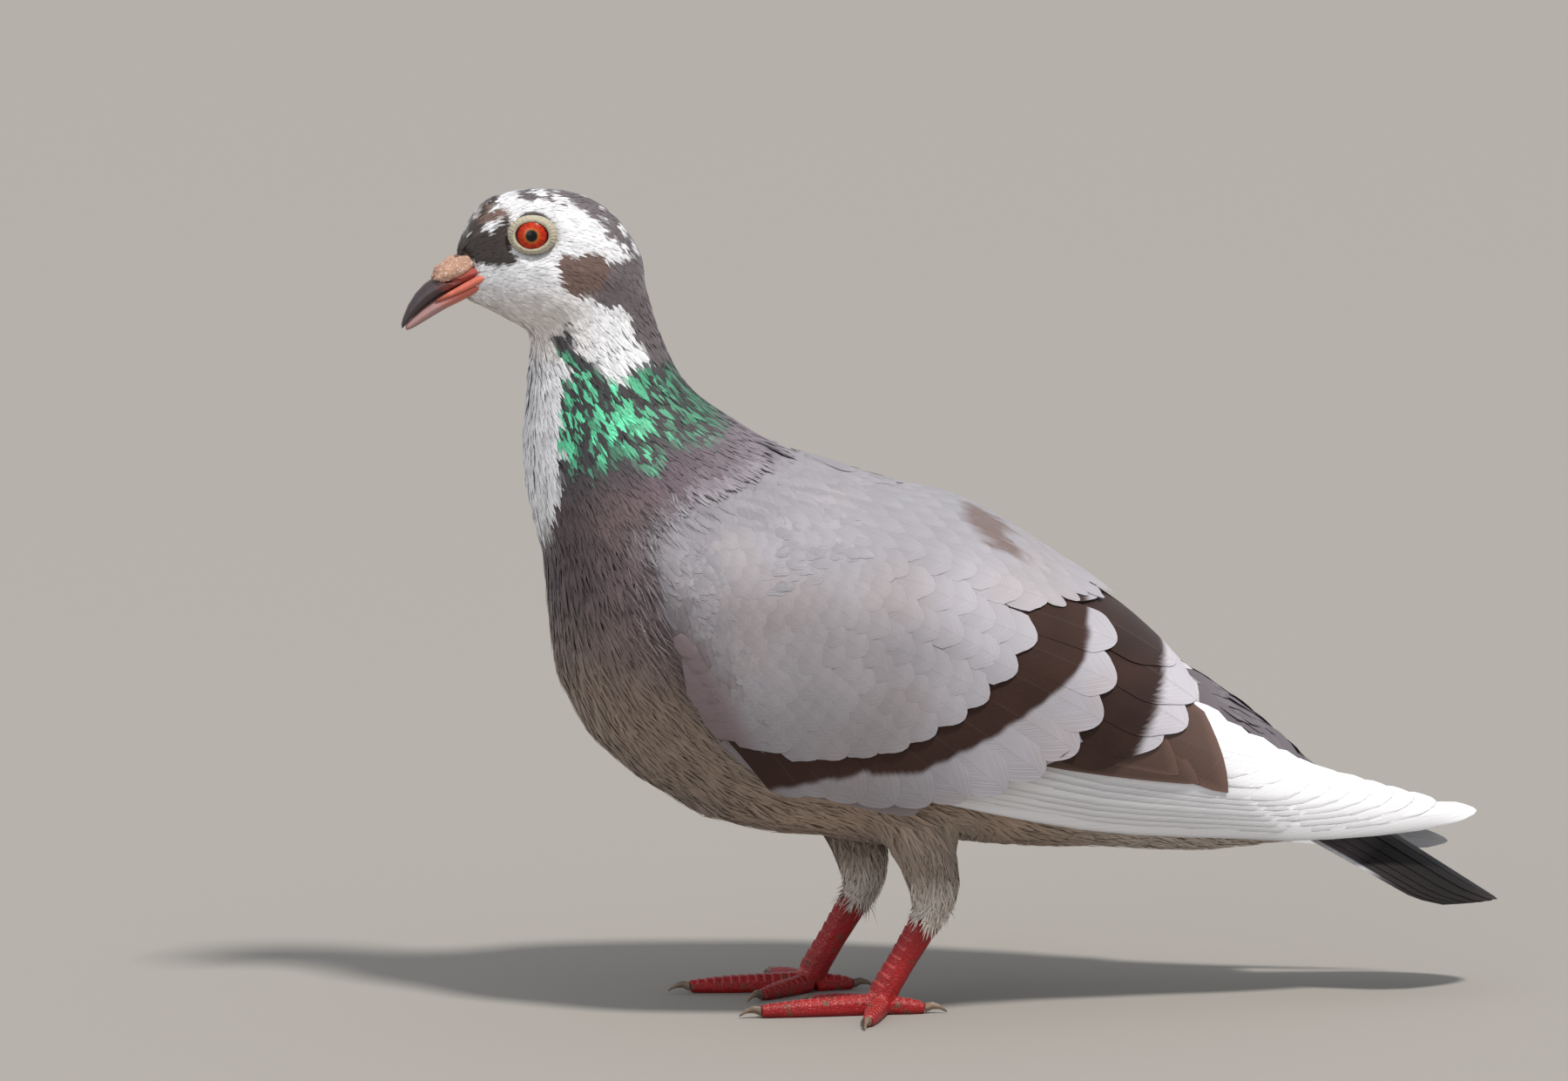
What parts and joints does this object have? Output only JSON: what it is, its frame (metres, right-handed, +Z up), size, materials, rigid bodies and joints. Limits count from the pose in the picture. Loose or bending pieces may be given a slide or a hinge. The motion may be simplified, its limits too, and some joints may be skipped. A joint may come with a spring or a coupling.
{
  "type": "pigeon figure",
  "caption": "Still, life-size pigeon standing on both feet with its wings folded, head up and tail held off the ground, for display.",
  "frame": {"origin": "on the floor under the middle of the bird's bounding box", "axes": "+Z up, -X the way the bill points, -Y the bird's left side"},
  "size_m": [0.2834, 0.1008, 0.2119],
  "materials": {
    "plumage": "matt grey body feathers",
    "neck_plumage": "dark feathers with a green and purple sheen",
    "head_plumage": "short matt white and slate feathers",
    "wing_coverts": "matt pale grey feathers with dark bars",
    "secondaries": "matt brown flight feathers",
    "primaries": "matt white flight feathers",
    "tail_feathers": "matt dark tail feathers",
    "upper_bill": "smooth dark horn",
    "lower_bill": "smooth pink horn",
    "cere": "dry, finely grained skin",
    "eye": "wet, glossy",
    "eye_ring": "bare pimpled skin",
    "leg_skin": "scaly skin",
    "claw": "smooth horn"
  },
  "bodies": {
    "root": {"trunk": "plumage", "neck": "neck_plumage", "head": "head_plumage", "upper_bill": "upper_bill", "lower_bill": "lower_bill", "cere": "cere", "tail": "tail_feathers", "eye_left": "eye", "eye_ring_left": "eye_ring", "wing_left_coverts": "wing_coverts", "wing_left_secondaries": "secondaries", "wing_left_primaries": "primaries", "thigh_left": "plumage", "shank_left": "leg_skin", "toe_left_1": "leg_skin", "toe_left_2": "leg_skin", "toe_left_3": "leg_skin", "toe_left_4": "leg_skin", "claw_left_1": "claw", "claw_left_2": "claw", "claw_left_3": "claw", "claw_left_4": "claw", "eye_right": "eye", "eye_ring_right": "eye_ring", "wing_right_coverts": "wing_coverts", "wing_right_secondaries": "secondaries", "wing_right_primaries": "primaries", "thigh_right": "plumage", "shank_right": "leg_skin", "toe_right_1": "leg_skin", "toe_right_2": "leg_skin", "toe_right_3": "leg_skin", "toe_right_4": "leg_skin", "claw_right_1": "claw", "claw_right_2": "claw", "claw_right_3": "claw", "claw_right_4": "claw"}
  },
  "joints": []
}
